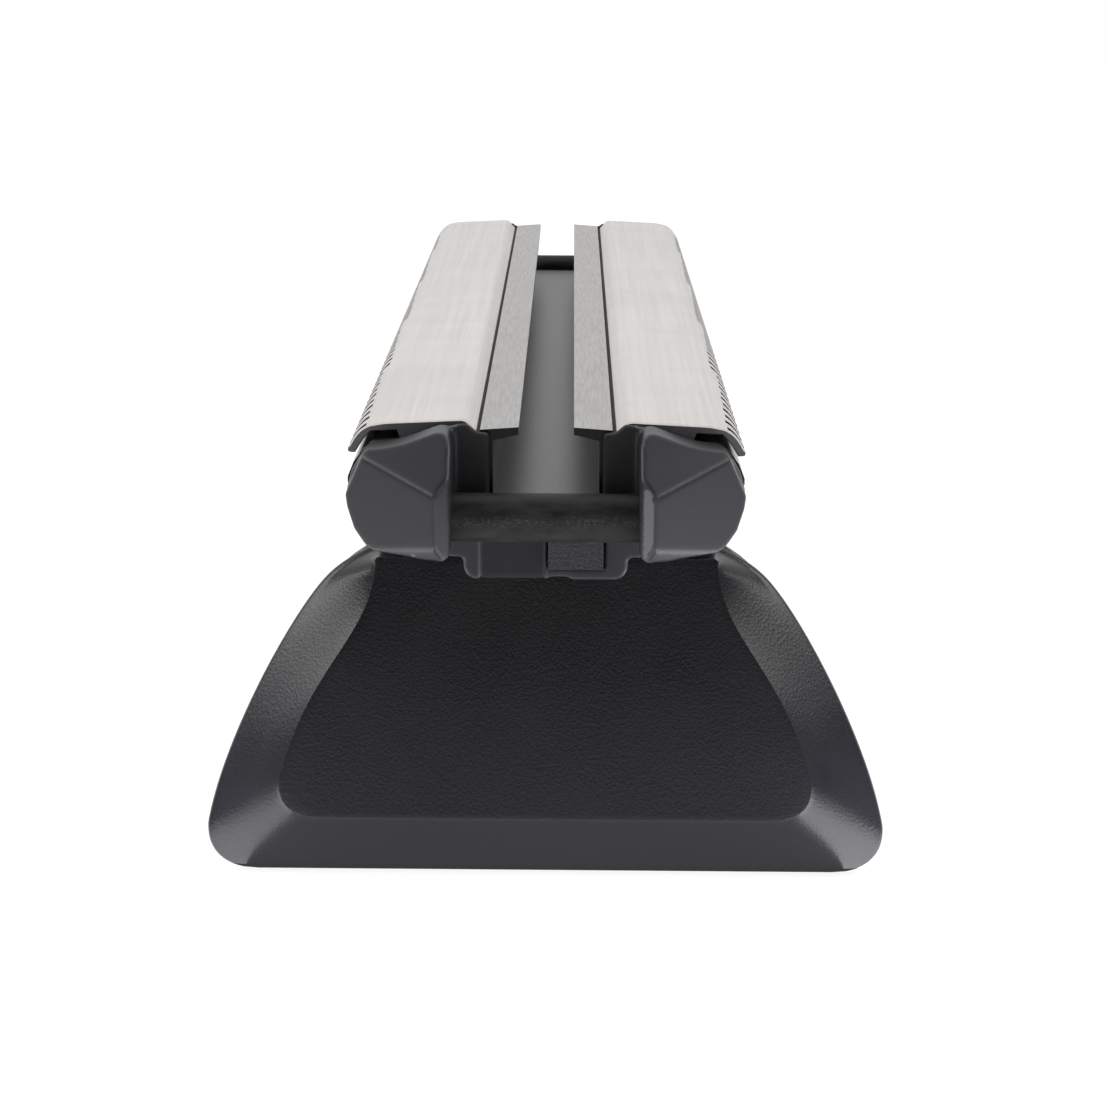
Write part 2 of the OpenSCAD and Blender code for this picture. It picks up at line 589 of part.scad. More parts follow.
// Folded steel bracket
// A flat hat section of sheet metal, with its bends as arcs
module bracket_section() {
    t = bracket_t;
    r = t + 2;
    w = bracket_half_w;
    difference() {
        union() {
            translate([-w + r, bracket_top_z - t]) square([2 * (w - r), t]);
            both() {
                translate([w - t, foot_z + r]) square([t, bracket_top_z - foot_z - 2 * r]);
                translate([w - r, bracket_top_z - r]) intersection() {
                    difference() { circle(r); circle(r - t); }
                    square(r);
                }
                translate([w - t + r, foot_z + r]) intersection() {
                    difference() { circle(r); circle(r - t); }
                    translate([-r, -r]) square(r);
                }
                translate([w - t + r, foot_z]) square([plate_half_w - flange_inset - w + t - r, t]);
            }
        }
    }
}
module support_bracket() {
    color(steel) from_bar_end() difference() {
        along_bar(bracket_y, bracket_len) bracket_section();
        for (y = [-clamp_pitch / 2, clamp_pitch / 2])
            translate([0, bracket_mid + y, bracket_top_z - bracket_t - 1])
                cylinder(r = clamp_r + 0.3, h = bracket_t + 2);
        for (y = [-foot_screw_pitch / 2, foot_screw_pitch / 2]) both()
            translate([foot_screw_x, bracket_mid + y, foot_z - 1]) cylinder(r = 3.2, h = bracket_t + 2);
    }
}
// A hexagon-head screw along -Z whose head bears on Z = 0 from above
module hex_screw(r, length, across, head_h) {
    translate([0, 0, -length]) cylinder(r = r, h = length);
    cylinder(r = across / sqrt(3), h = head_h, $fn = 6);
}
module bracket_screws() {
    color(steel) from_bar_end() for (y = [-foot_screw_pitch / 2, foot_screw_pitch / 2]) both()
        translate([foot_screw_x, bracket_mid + y, foot_z + bracket_t])
            hex_screw(2.95, bracket_t + plate_t - 0.4, 10, 4);
}

// Base
module base_plate() {
    color(steel) from_bar_end() difference() {
        translate([0, plate_y0, plate_z]) linear_extrude(plate_t)
            round_rect(plate_half_w, plate_len, plate_corner);
        for (y = [-mount_pitch / 2, mount_pitch / 2])
            translate([0, bracket_mid + y, plate_z - 1]) cylinder(r = mount_r, h = plate_t + 2);
        for (y = [-foot_screw_pitch / 2, foot_screw_pitch / 2]) both()
            translate([foot_screw_x, bracket_mid + y, plate_z - 1]) cylinder(r = 3, h = plate_t + 2);
    }
}
module base_pad() {
    color(black_rubber) from_bar_end() difference() {
        translate([0, plate_y0, 0]) linear_extrude(pad_t) round_rect(plate_half_w, plate_len, plate_corner);
        for (y = [-mount_pitch / 2, mount_pitch / 2])
            translate([0, bracket_mid + y, -1]) cylinder(r = mount_r + 1.5, h = pad_t + 2);
    }
}

// Saddle between the bracket and the bar
module saddle() {
    color(black_plastic) from_bar_end() difference() {
        along_bar(bracket_y, bracket_len) difference() {
            translate([-saddle_half_w, bracket_top_z])
                square([2 * saddle_half_w, lips_z - underside - seat_gap - bracket_top_z]);
            translate([-low_boss_half - 0.35, saddle_floor_z]) square([2 * low_boss_half + 0.7, 20]);
            // Hollows that keep the walls of the moulding even
            both() translate([low_boss_half + 4, bracket_top_z - 1]) square([5, 8]);
            both() translate([low_boss_half + 11.4, bracket_top_z - 1]) square([4, 8]);
        }
        for (y = [-clamp_pitch / 2, clamp_pitch / 2])
            translate([0, bracket_mid + y, bracket_top_z - 1]) cylinder(r = clamp_r + 0.3, h = 12);
    }
}

// Clamp bolts, whose heads lie in the bar's lower slot
head_z = lips_z - bar_h + low_lip_t + seat_gap;
nut_z = bracket_top_z - bracket_t - 1.6;
module clamp_bolts() {
    color(steel) from_bar_end() for (y = [-clamp_pitch / 2, clamp_pitch / 2])
        translate([0, bracket_mid + y, 0]) {
            translate([0, 0, nut_z - 9]) cylinder(r = clamp_r - 0.05, h = head_z - nut_z + 9);
            translate([-low_half + 2, -8, head_z]) cube([low_slot_w - 4, 16, 4.6]);
        }
}
module clamp_washers() {
    color(steel) from_bar_end() for (y = [-clamp_pitch / 2, clamp_pitch / 2])
        translate([0, bracket_mid + y, nut_z]) difference() {
            cylinder(r = clamp_r + 4, h = 1.6);
            translate([0, 0, -1]) cylinder(r = clamp_r + 0.2, h = 4);
        }
}
module clamp_nuts() {
    color(steel) from_bar_end() for (y = [-clamp_pitch / 2, clamp_pitch / 2])
        translate([0, bracket_mid + y, nut_z - 6.5]) difference() {
            cylinder(r = 13 / sqrt(3), h = 6.5, $fn = 6);
            translate([0, 0, -1]) cylinder(r = clamp_r, h = 9);
        }
}

bar_extrusion();
left_strip();
right_strip();
front_end_cap();
rear_end_cap();
front_stop_tube();
rear_stop_tube();
front_slot_plate();
rear_slot_plate();
front_cap_screws();
rear_cap_screws();
cover();
cover_frame();
cover_grommets();
frame_screws();
tower_shell();
support_bracket();
bracket_screws();
base_plate();
base_pad();
saddle();
clamp_bolts();
clamp_washers();
clamp_nuts();
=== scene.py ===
import math
import bpy
import numpy as np
from mathutils import Matrix, Vector


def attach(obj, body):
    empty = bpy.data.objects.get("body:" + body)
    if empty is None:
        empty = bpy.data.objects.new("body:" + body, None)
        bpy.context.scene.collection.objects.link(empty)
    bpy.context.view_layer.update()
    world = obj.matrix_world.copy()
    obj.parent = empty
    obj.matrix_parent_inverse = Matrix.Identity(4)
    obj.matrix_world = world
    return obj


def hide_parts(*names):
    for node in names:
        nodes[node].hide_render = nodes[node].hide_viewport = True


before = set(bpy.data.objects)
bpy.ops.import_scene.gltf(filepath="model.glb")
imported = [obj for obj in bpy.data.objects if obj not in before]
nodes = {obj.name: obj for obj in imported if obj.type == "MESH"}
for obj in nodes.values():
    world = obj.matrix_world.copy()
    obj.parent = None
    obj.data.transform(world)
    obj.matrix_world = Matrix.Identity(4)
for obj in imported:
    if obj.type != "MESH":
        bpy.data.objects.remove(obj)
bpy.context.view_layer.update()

# Sizes shared with the CAD source, in millimetres. Places are measured along the bar from its front
# end, as in the source, and moved to the part's origin when a mesh is made.
MID = 79.6
LIPS = 99.2
BAR_HALF = 40.0
LIP_SPAN = 13.3
SEAT_DROP = 2.2
GROOVE_X, GROOVE_HALF = 24.0, 2.4
CROWN = 1.1
COVER_HALF, COVER_LOW, COVER_TOP = 72.5, 0.8, 68.1
COVER_START, COVER_BACK, LEAN, RISE, WALL = 8.0, 34.0, 0.28, 9.0, 2.4
REAR_FACE = 324.3
STUD_PLACES = ((34, 40), (47, 17))
RIM_ROUND = 0.7
EDGE = 0.35
WEB_FACE, TUBE_LOW = 2.5, 78.4
STUD_SIDES = 32
SLIT_START, SLIT_PITCH, SLIT_WIDTH, SLIT_DEPTH, SLIT_WALL = 1.5, 6.8, 2.7, 1.0, 0.04
CAP_VOXEL, CAP_PASSES = 0.42, 11
CHANNEL_HALF, RECESS_HALF, POCKET_HALF = 10.8, 17.9, 13.2
SMOOTH_BELOW, EDGE_ABOVE = math.radians(40), math.radians(35)

# How far the slits reach over the shoulder, how much less at the end of a run, the slits in a run, and
# the share of the reach that is lost towards the rear
SLIT_REACH, REACH_LOSS, SLIT_RUN, REAR_LOSS = 3.5, 1.7, 10, 0.5

# Points of the strip's section before its skirt, and before the outer face that gets the painted pale sheen
SKIRT_POINT, PALE_POINT = 10, 13

# The rear cap's tips: their height over the lips at the strips' end, and how it falls beyond it
TIP_OVER, TIP_FALL, TIP_START = 0.5, 0.14, -6

# The photo's camera: its frame and focal length in pixels, how far the horizon lies above the frame's
# middle and the bar's line beside it, and its place in millimetres from the bar's front end
PHOTO_SIZE, FOCAL_LENGTH = 1106.0, 2346.0
HORIZON_OFF, LINE_OFF = 636, 18
CAMERA_RIGHT, CAMERA_AWAY, CAMERA_ABOVE = 4.88, 460, 99.21
CAMERA_ROLL = math.radians(0.3)
SENSOR = 36


# Materials
def material(name, color, rough, metal=0.0, **sockets):
    """A Principled material, and its node tree, shader and object coordinates."""
    m = bpy.data.materials.new(name)
    m.use_nodes = True
    nt = m.node_tree
    p = nt.nodes["Principled BSDF"]
    p.inputs["Base Color"].default_value = (*color, 1)
    p.inputs["Roughness"].default_value = rough
    p.inputs["Metallic"].default_value = metal
    for k, v in sockets.items():
        p.inputs[k.replace("_", " ")].default_value = v
    co = nt.nodes.new("ShaderNodeTexCoord")
    return m, nt, p, co.outputs["Object"]


def stretched(nt, co, scale):
    """Coordinates scaled by (x, y, z), for grain that runs along one way."""
    mp = nt.nodes.new("ShaderNodeMapping")
    mp.inputs["Scale"].default_value = scale
    nt.links.new(co, mp.inputs["Vector"])
    return mp.outputs["Vector"]


def noise(nt, co, scale, detail=2.0, rough=0.5):
    n = nt.nodes.new("ShaderNodeTexNoise")
    n.inputs["Scale"].default_value = scale
    n.inputs["Detail"].default_value = detail
    n.inputs["Roughness"].default_value = rough
    nt.links.new(co, n.inputs["Vector"])
    return n.outputs["Fac"]


def cells(nt, co, scale):
    """Rounded cells, as on a spark-eroded or leather-grained mould."""
    v = nt.nodes.new("ShaderNodeTexVoronoi")
    v.feature = "SMOOTH_F1"
    v.inputs["Scale"].default_value = scale
    v.inputs["Smoothness"].default_value = 0.4
    nt.links.new(co, v.inputs["Vector"])
    return v.outputs["Distance"]


def ramp(nt, fac, stops):
    r = nt.nodes.new("ShaderNodeValToRGB")
    el = r.color_ramp.elements
    while len(el) < len(stops):
        el.new(0.5)
    for e, (pos, c) in zip(el, stops):
        e.position = pos
        e.color = (*c, 1) if isinstance(c, tuple) else (c, c, c, 1)
    nt.links.new(fac, r.inputs["Fac"])
    return r.outputs["Color"]


def mixed(nt, fac, a, b):
    """Mixes two colours or sockets."""
    m = nt.nodes.new("ShaderNodeMix")
    m.data_type = "RGBA"
    for value, at in ((fac, 0), (a, 6), (b, 7)):
        if isinstance(value, bpy.types.NodeSocket):
            nt.links.new(value, m.inputs[at])
        else:
            m.inputs[at].default_value = value if at == 0 else (*value, 1)
    return m.outputs[2]


def math_node(nt, op, a, b=0.0):
    """The result of a sum or comparison of two numbers or sockets."""
    n = nt.nodes.new("ShaderNodeMath")
    n.operation = op
    for i, v in enumerate((a, b)):
        if isinstance(v, bpy.types.NodeSocket):
            nt.links.new(v, n.inputs[i])
        else:
            n.inputs[i].default_value = v
    return n.outputs[0]


def mapped(nt, value, low, high, at_low, at_high):
    """The value's place between low and high, as a number from at_low to at_high."""
    r = nt.nodes.new("ShaderNodeMapRange")
    nt.links.new(value, r.inputs["Value"])
    for key, v in (("From Min", low), ("From Max", high), ("To Min", at_low), ("To Max", at_high)):
        r.inputs[key].default_value = v
    return r.outputs[0]


def side_of(nt, kind):
    """x, y and z of the object's normal or coordinates."""
    xyz = nt.nodes.new("ShaderNodeSeparateXYZ")
    nt.links.new(nt.nodes.new("ShaderNodeTexCoord").outputs[kind], xyz.inputs[0])
    return xyz.outputs


def bump(nt, p, layers):
    """Chains bump nodes from (height socket, strength, distance in mm) layers."""
    last = None
    for height, strength, dist in layers:
        b = nt.nodes.new("ShaderNodeBump")
        b.inputs["Strength"].default_value = strength
        b.inputs["Distance"].default_value = dist / 1000
        nt.links.new(height, b.inputs["Height"])
        if last:
            nt.links.new(last, b.inputs["Normal"])
        last = b.outputs["Normal"]
    nt.links.new(last, p.inputs["Normal"])


def plastic(name, color, rough, grain, depth, spread=0.25, leather=False, edge_highlight=0.0, painted_shade_heights=None, **sockets):
    """Moulded plastic with a grain of that size in mm, and a slow change of tone and gloss.

    Given an edge level, its sharp edges are paler by that much, a painted highlight on them. Given a pair of
    heights in metres, its colour deepens upwards between them, a painted shade from the bar above."""
    m, nt, p, co = material(name, color, rough, **sockets)
    slow = noise(nt, co, 25, 3)
    fine = noise(nt, co, 1000 / grain, 3, 0.6)
    dark = tuple(c * (1 - spread) for c in color)
    pale = tuple(c * (1 + spread) for c in color)
    tone = ramp(nt, slow, [(0.3, dark), (0.7, pale)])
    speck = ramp(nt, fine, [(0.35, dark), (0.65, pale)])
    tone = mixed(nt, 0.5, tone, speck)
    # Paler sharp edges: a painted highlight where light catches the rounded ridges.
    if edge_highlight:
        point = nt.nodes.new("ShaderNodeNewGeometry").outputs["Pointiness"]
        painted_edge_highlight = ramp(nt, point, [(0.515, 0.0), (0.6, edge_highlight)])
        tone = mixed(nt, painted_edge_highlight, tone, (0.16, 0.16, 0.17))
    # A darker colour towards the top: painted shade, where the bar above shadows the cover.
    if painted_shade_heights:
        deep = mapped(nt, side_of(nt, "Object")[2], *painted_shade_heights, 0.0, 0.85)
        tone = mixed(nt, deep, tone, (0.002, 0.002, 0.003))
    nt.links.new(tone, p.inputs["Base Color"])
    gloss = noise(nt, co, 60, 4)
    nt.links.new(ramp(nt, gloss, [(0.3, rough - 0.04), (0.7, rough + 0.05)]), p.inputs["Roughness"])
    layers = [(fine, 0.5, depth)]
    if leather:
        layers.append((cells(nt, co, 1000 / (grain * 1.8)), 0.5, depth * 1.3))
    bump(nt, p, layers)
    return m


# The cap plastic's paler sharp edges are a painted highlight.
cap_black = plastic("cap_plastic", (0.017, 0.017, 0.022), 0.4, 0.35, 0.02, edge_highlight=0.6,
                    Specular_IOR_Level=0.32)
pocket_black = plastic("pocket_plastic", (0.016, 0.016, 0.019), 0.5, 0.35, 0.02, Specular_IOR_Level=0.21)
# A darker, duller copy of the cap plastic for the cap's recess between its lobes: painted shade.
recess_painted_shade = plastic("recess_painted_shade_plastic", (0.015, 0.015, 0.017), 0.6, 0.35, 0.02, Specular_IOR_Level=0.22)
# The cover's colour deepens towards the panel's top: painted shade under the bar.
cover_black = plastic("cover_plastic", (0.013, 0.0125, 0.018), 0.3, 0.36, 0.04, leather=True,
                      painted_shade_heights=(0.018, 0.055), Specular_IOR_Level=0.4)
grain_black = plastic("grained_plastic", (0.022, 0.022, 0.025), 0.34, 0.5, 0.6, spread=0.8,
                      Specular_IOR_Level=0.3)
shell_black = plastic("housing_plastic", (0.03, 0.03, 0.033), 0.5, 0.6, 0.05, leather=True)
pad_black = plastic("pad_rubber", (0.03, 0.03, 0.03), 0.75, 0.5, 0.04)


def strip_material():
    """Dark rubber with a painted sheen: a pale skin with streaks along the bar, and dark cut ends."""
    m, nt, p, co = material("strip_rubber", (0.54, 0.52, 0.505), 0.42)
    skin = stretched(nt, co, (900, 14, 900))
    streak = noise(nt, skin, 1.0, 3, 0.6)
    band = noise(nt, stretched(nt, co, (20, 90, 20)), 1.0, 2)
    # The skin's pale tone is a painted sheen of grazing light; the cut ends keep the rubber's dark colour.
    tone = ramp(nt, streak, [(0.25, (0.46, 0.439, 0.424)), (0.75, (0.575, 0.553, 0.537))])
    wide = ramp(nt, band, [(0.35, (0.45, 0.43, 0.415)), (0.65, (0.585, 0.563, 0.547))])
    tone = mixed(nt, 0.2, tone, wide)
    nt.links.new(mixed(nt, cut_ends(nt), tone, (0.066, 0.063, 0.067)), p.inputs["Base Color"])
    bump(nt, p, [(noise(nt, co, 1500, 2), 0.15, 0.01), (band, 0.08, 0.15)])
    return m


def cut_ends(nt):
    """1 on faces across the bar, and 0 on faces along it."""
    return math_node(nt, "GREATER_THAN", math_node(nt, "ABSOLUTE", side_of(nt, "Normal")[1]), 0.7)


def metal(name, color, rough, grain, depth):
    """Bare metal with a grain of that size in mm."""
    m, nt, p, co = material(name, color, rough, 1.0)
    draw = noise(nt, stretched(nt, co, (1000 / grain,) * 3), 1.0, 3)
    blast = noise(nt, co, 1000 / grain, 3, 0.6)
    lo = tuple(c * 0.85 for c in color)
    hi = tuple(min(1, c * 1.15) for c in color)
    nt.links.new(ramp(nt, draw, [(0.3, lo), (0.7, hi)]), p.inputs["Base Color"])
    nt.links.new(ramp(nt, blast, [(0.3, rough - 0.05), (0.7, rough + 0.06)]), p.inputs["Roughness"])
    bump(nt, p, [(blast, 0.4, depth)])
    return m


def bar_material():
    """Anodised metal with dark saw cuts, and painted shade down inside the top slot."""
    m, nt, p, co = material("anodised_bar", (0.46, 0.45, 0.44), 0.42, 1.0)
    draw = noise(nt, stretched(nt, co, (2500, 125, 2500)), 1.0, 3)
    blast = noise(nt, co, 2500, 3, 0.6)
    skin = ramp(nt, draw, [(0.3, (0.35, 0.343, 0.336)), (0.7, (0.48, 0.468, 0.457))])
    place = side_of(nt, "Object")
    # The top slot's inside, below the lips and within the channel, is painted darker: painted shade.
    low = math_node(nt, "LESS_THAN", place[2], (LIPS - 2.05) / 1000)
    middle = math_node(nt, "LESS_THAN", math_node(nt, "ABSOLUTE", place[0]), CHANNEL_HALF / 1000)
    inside = math_node(nt, "MULTIPLY", low, middle)
    tone = mixed(nt, inside, skin, (0.165, 0.16, 0.16))
    nt.links.new(mixed(nt, cut_ends(nt), tone, (0.018, 0.018, 0.019)), p.inputs["Base Color"])
    nt.links.new(ramp(nt, blast, [(0.3, 0.37), (0.7, 0.48)]), p.inputs["Roughness"])
    bump(nt, p, [(blast, 0.4, 0.02)])
    return m


bar_metal = bar_material()
zinc = metal("zinc_steel", (0.6, 0.61, 0.63), 0.32, 0.8, 0.02)
strip_rubber = strip_material()
slit_dark = plastic("slit_rubber", (0.02, 0.02, 0.02), 0.7, 0.5, 0.01)


def black_steel_material(name, glint_height=None):
    """Black steel. Given a height in metres, pale specks are painted in a band along it: painted glints."""
    m, nt, p, co = material(name, (0.012, 0.012, 0.012), 0.45, Specular_IOR_Level=0.22)
    blot = noise(nt, stretched(nt, co, (160, 400, 400)), 1.0, 5, 0.65)
    tone = ramp(nt, blot, [(0.35, (0.008, 0.008, 0.008)), (0.66, (0.022, 0.022, 0.022))])
    # Pale specks in a band at one height, the stop tube's middle: painted glints of light.
    if glint_height:
        specks = noise(nt, stretched(nt, co, (1300, 2200, 2200)), 1.0, 4, 0.7)
        specks = ramp(nt, specks, [(0.5, 0.0), (0.62, 1.0)])
        off = math_node(nt, "ABSOLUTE", math_node(nt, "SUBTRACT", side_of(nt, "Object")[2], glint_height))
        specks = math_node(nt, "MULTIPLY", specks, mapped(nt, off, 0.0002, 0.0016, 0.7, 0.0))
        tone = mixed(nt, specks, tone, (0.06, 0.058, 0.058))
    nt.links.new(tone, p.inputs["Base Color"])
    nt.links.new(ramp(nt, blot, [(0.3, 0.42), (0.7, 0.6)]), p.inputs["Roughness"])
    bump(nt, p, [(noise(nt, co, 1800, 2), 0.25, 0.015), (blot, 0.2, 0.06)])
    return m


black_steel = black_steel_material("black_steel")
steel_painted_glints = black_steel_material("steel_painted_glints", 0.0836)


def dress(node, mat, bevel=0.0):
    """Gives a CAD node its material, smooth shading and, with a width in mm, softened edges."""
    o = nodes[node]
    o.data.materials.clear()
    o.data.materials.append(mat)
    o.data.shade_smooth()
    o.data.set_sharp_from_angle(angle=SMOOTH_BELOW)
    if bevel:
        b = o.modifiers.new("edge", "BEVEL")
        b.width = bevel / 1000
        b.segments = 2
        b.limit_method = "ANGLE"
        b.angle_limit = EDGE_ABOVE
        b.harden_normals = False


# Mesh helpers
def curve(p, steps):
    """Points of a cubic after its first one."""
    p = np.array(p, float)
    t = (np.arange(1, steps + 1) / steps)[:, None]
    shares = ((1 - t) ** 3, 3 * (1 - t) ** 2 * t, 3 * (1 - t) * t * t, t ** 3)
    return list(sum(share * point for share, point in zip(shares, p)))


def line(a, b, steps):
    """Points on a straight line after its first one."""
    a, b = np.array(a, float), np.array(b, float)
    return [a + (b - a) * i / steps for i in range(1, steps + 1)]


def both_sides(half):
    """The whole outline from its right half."""
    half = [np.array(p, float) for p in half]
    return np.array(half + [np.array([-p[0], p[1]]) for p in reversed(half)])


def inset(pts, d):
    """The outline moved inwards by d, for outlines that run anticlockwise."""
    a, b = np.roll(pts, 1, 0), np.roll(pts, -1, 0)
    s = b - a
    s /= np.maximum(np.linalg.norm(s, axis=1), 1e-9)[:, None]
    return pts + d * np.stack([-s[:, 1], s[:, 0]], 1)


def mesh_piece(name, verts, faces, mat, body, replaced, angle, dark=None):
    """A piece from vertices in mm measured from the bar's front end. The faces that dark lists, which
    is a material and a set of face numbers, get that material."""
    v = np.array(verts, float)
    v[:, 1] -= MID
    me = bpy.data.meshes.new(name)
    me.from_pydata((v / 1000).tolist(), [], faces)
    me.materials.append(mat)
    if dark:
        me.materials.append(dark[0])
        for i in dark[1]:
            me.polygons[i].material_index = 1
    me.validate()
    me.shade_smooth()
    me.set_sharp_from_angle(angle=math.radians(angle))
    o = bpy.data.objects.new(name, me)
    bpy.context.scene.collection.objects.link(o)
    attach(o, body)
    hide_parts(replaced)


def rings_to_faces(count, n, first=0):
    """The faces between that many rings of n points, where first is the first ring's first point."""
    return [[first + k * n + i, first + k * n + (i + 1) % n,
             first + (k + 1) * n + (i + 1) % n, first + (k + 1) * n + i]
            for k in range(count - 1) for i in range(n)]


# Cover
def resampled(pts, marks, counts):
    """Points along a line of points, with that many steps between places given as points near it."""
    pts = np.array(pts, float)
    run = np.concatenate([[0], np.cumsum(np.linalg.norm(np.diff(pts, axis=0), axis=1))])
    nearest = [np.argmin(np.linalg.norm(pts - np.array(m, float), axis=1)) for m in marks]
    at = [0] + [run[i] for i in nearest] + [run[-1]]
    along = np.concatenate([[0]] + [np.linspace(a, b, n + 1)[1:] for a, b, n in zip(at, at[1:], counts)])
    return list(np.stack([np.interp(along, run, pts[:, k]) for k in (0, 1)], 1))


def rim_half():
    """Half of the rim, with the points of its corner spread wide, which makes a broad fold."""
    w, z0, top = COVER_HALF, COVER_LOW, COVER_TOP
    pts = [np.array([0.6, z0])] + line([0.6, z0], [w - 11, z0], 60)
    pts += curve([[w - 11, z0], [w - 4, z0], [w + 0.3, z0 + 3.2], [w, z0 + 9.5]], 60)
    pts += curve([[w, z0 + 9.5], [w - 3.1, z0 + 27.1], [w - 18.2, top - 13.4], [w - 25.5, top - 6.4]],
                 120)
    pts += curve([[w - 25.5, top - 6.4], [w - 27.8, top - 4.2], [w - 31, top - 2.2], [w - 35, top - 0.4]],
                 40)
    pts += curve([[w - 35, top - 0.4], [w - 36, top - 0.1], [w - 37, top], [w - 38.5, top]], 12)
    pts += line([w - 38.5, top], [0.6, top], 30)
    marks = [[w - 11, z0], [w - 8, z0 + 0.2], [w - 0.2, z0 + 11], [w - 25.5, top - 6.4], [w - 35, top - 0.4],
             [w - 38.5, top]]
    return resampled(pts, marks, (9, 1, 18, 36, 12, 4, 8))


def panel_half():
    """Half of the raised panel's outline."""
    w, z0, top = COVER_HALF, COVER_LOW, COVER_TOP
    pts = [np.array([0.6, z0 + 13.7])] + line([0.6, z0 + 13.7], [w - 24.4, z0 + 13.7], 10)
    corner = [[w - 24.4, z0 + 13.7], [w - 19.4, z0 + 13.8], [w - 16.4, z0 + 16.6], [w - 17, z0 + 21.5]]
    side = [[w - 17, z0 + 21.5], [w - 22.4, top - 23.5], [w - 34.8, top - 17.5], [w - 36.6, top - 3.4]]
    neck = [[w - 36.6, top - 3.4], [w - 36.8, top - 2.6], [w - 36.8, top - 1.7], [w - 36.6, top - 1.1]]
    tip = [[w - 36.6, top - 1.1], [w - 36.7, top - 0.7], [w - 37, top - 0.4], [w - 37.6, top - 0.4]]
    for part, steps in ((corner, 18), (side, 36), (neck, 12), (tip, 4)):
        pts += curve(part, steps)
    return pts + line([w - 37.6, top - 0.4], [0.6, top - 0.4], 8)


def make_cover():
    """The cover and its studs, lofted through rings from the panel over the rim to the inner side."""
    rim, panel = both_sides(rim_half()), both_sides(panel_half()) * (1.014, 1)
    front = COVER_START - RISE
    middle = np.array([0, 36.0])

    def ring(pts, y, lean=True):
        return np.stack([pts[:, 0], y + (LEAN if lean else 0) * pts[:, 1], pts[:, 1]], 1)

    def shrunk(pts, share):
        """The outline drawn towards the panel's middle."""
        return middle + (pts - middle) * share

    def between(t, bulge):
        """A ring on the slope from the panel to the rim, swelled a little in its middle."""
        pts = panel * (1 - t) + inset(rim, RIM_ROUND) * t
        deep = (COVER_START - 0.6 - front - EDGE / 2) * t
        return ring(pts, front + EDGE / 2 + deep - bulge * math.sin(math.pi * t))

    edge = inset(panel, EDGE)
    out = [ring(shrunk(edge, s), front) for s in (0.2, 0.45, 0.7, 0.88, 0.96, 1)]
    # Rounded edge of the panel
    out += [ring(inset(panel, EDGE * (1 - math.sin(a))), front + EDGE / 2 * (1 - math.cos(a)))
            for a in np.radians([25, 50, 75])]
    out += [between(t, 0.15) for t in (0.06, 0.14, 0.25, 0.4, 0.55, 0.7, 0.82, 0.91, 0.97)]
    # Rounded rim
    out += [ring(inset(rim, RIM_ROUND * (1 - math.sin(a))), COVER_START + 0.9 - 1.5 * math.cos(a))
            for a in np.radians([6, 20, 35, 50, 65, 78, 90])]

    def upright(pts, y):
        q = ring(pts, y, False)
        q[:, 2] *= 0.95
        return q

    edge = inset(rim, 0.7)
    out += [ring(rim, COVER_START + 0.9) * 0.5 + upright(edge, COVER_BACK) * 0.5,
            upright(edge, COVER_BACK - 0.3), upright(inset(rim, 1.0), COVER_BACK)]
    # Inner side
    inner = shrunk(panel, 0.95)
    out += [upright(inset(rim, 0.4 + WALL), COVER_BACK), upright(inset(rim, 0.7 + WALL), COVER_BACK - 0.4),
            ring(inset(rim, WALL), COVER_START + 2.4 + WALL), ring(inner, front + WALL + 0.4)]
    out += [ring(shrunk(inner, s), front + WALL) for s in (0.98, 0.5, 0.2)]
    n = len(rim)
    verts = np.concatenate(out)
    faces = [list(range(n))] + rings_to_faces(len(out), n)
    last = (len(out) - 1) * n
    faces.append([last + i for i in reversed(range(n))])
    verts, faces = list(verts), [list(reversed(f)) for f in faces]
    # Snap studs
    for x, z in STUD_PLACES:
        for side in (-1, 1):
            start = front + LEAN * z + WALL / 2
            base = len(verts)
            for r, y in ((3, start), (3, COVER_BACK + 11), (2.2, COVER_BACK + 12.4)):
                verts += [np.array([side * x + r * math.cos(a), y, z + r * math.sin(a)])
                          for a in np.linspace(0, 2 * math.pi, STUD_SIDES, endpoint=False)]
            faces += rings_to_faces(3, STUD_SIDES, base)
            faces += [list(reversed(range(base, base + STUD_SIDES))),
                      list(range(len(verts) - STUD_SIDES, len(verts)))]
    mesh_piece("cover_moulding", verts, faces, cover_black, "cover", "cover", 28)


make_cover()


# Strips
def strip_outline():
    """A strip's section, seen from the bar's front end, from its inner edge along its underside."""
    b, g0, g1 = BAR_HALF, GROOVE_X - GROOVE_HALF + 0.2, GROOVE_X + GROOVE_HALF - 0.2
    low = -(SEAT_DROP + 2.5) + 0.2
    pts = [[LIP_SPAN + 0.2, -SEAT_DROP], [g0, -SEAT_DROP], [g0, low], [g1, low], [g1, -SEAT_DROP],
           [b - 10.4, -SEAT_DROP], [b - 9.8, -0.7], [b - 4.6, -0.9], [b - 3, -2.7], [b - 1.4, -5.3],
           [b - 0.6, -5.3], [b - 0.1, -5.2], [b + 0.1, -4.9], [b, -4.2], [b - 0.4, -3.6]]
    pts += curve([[b - 0.4, -3.6], [b - 1.5, -1.4], [b - 3, 0.2], [b - 5.4, CROWN - 0.6]], 14)
    pts += curve([[b - 5.4, CROWN - 0.6], [b - 6.6, CROWN - 0.3], [b - 8, CROWN - 0.2],
                  [b - 9.6, CROWN - 0.12]], 6)
    pts += line([b - 9.6, CROWN - 0.12], [LIP_SPAN + 4.3, CROWN + 0.5], 8)
    pts += curve([[LIP_SPAN + 4.3, CROWN + 0.5], [LIP_SPAN + 3.5, CROWN + 0.55],
                  [LIP_SPAN + 3.1, CROWN + 0.4], [LIP_SPAN + 2.6, CROWN]], 4)
    pts += line([LIP_SPAN + 2.6, CROWN], [LIP_SPAN + 0.85, -0.6], 4)
    pts += [np.array([LIP_SPAN + 0.15, -0.95])]
    return np.array([[float(a), float(c)] for a, c in pts])


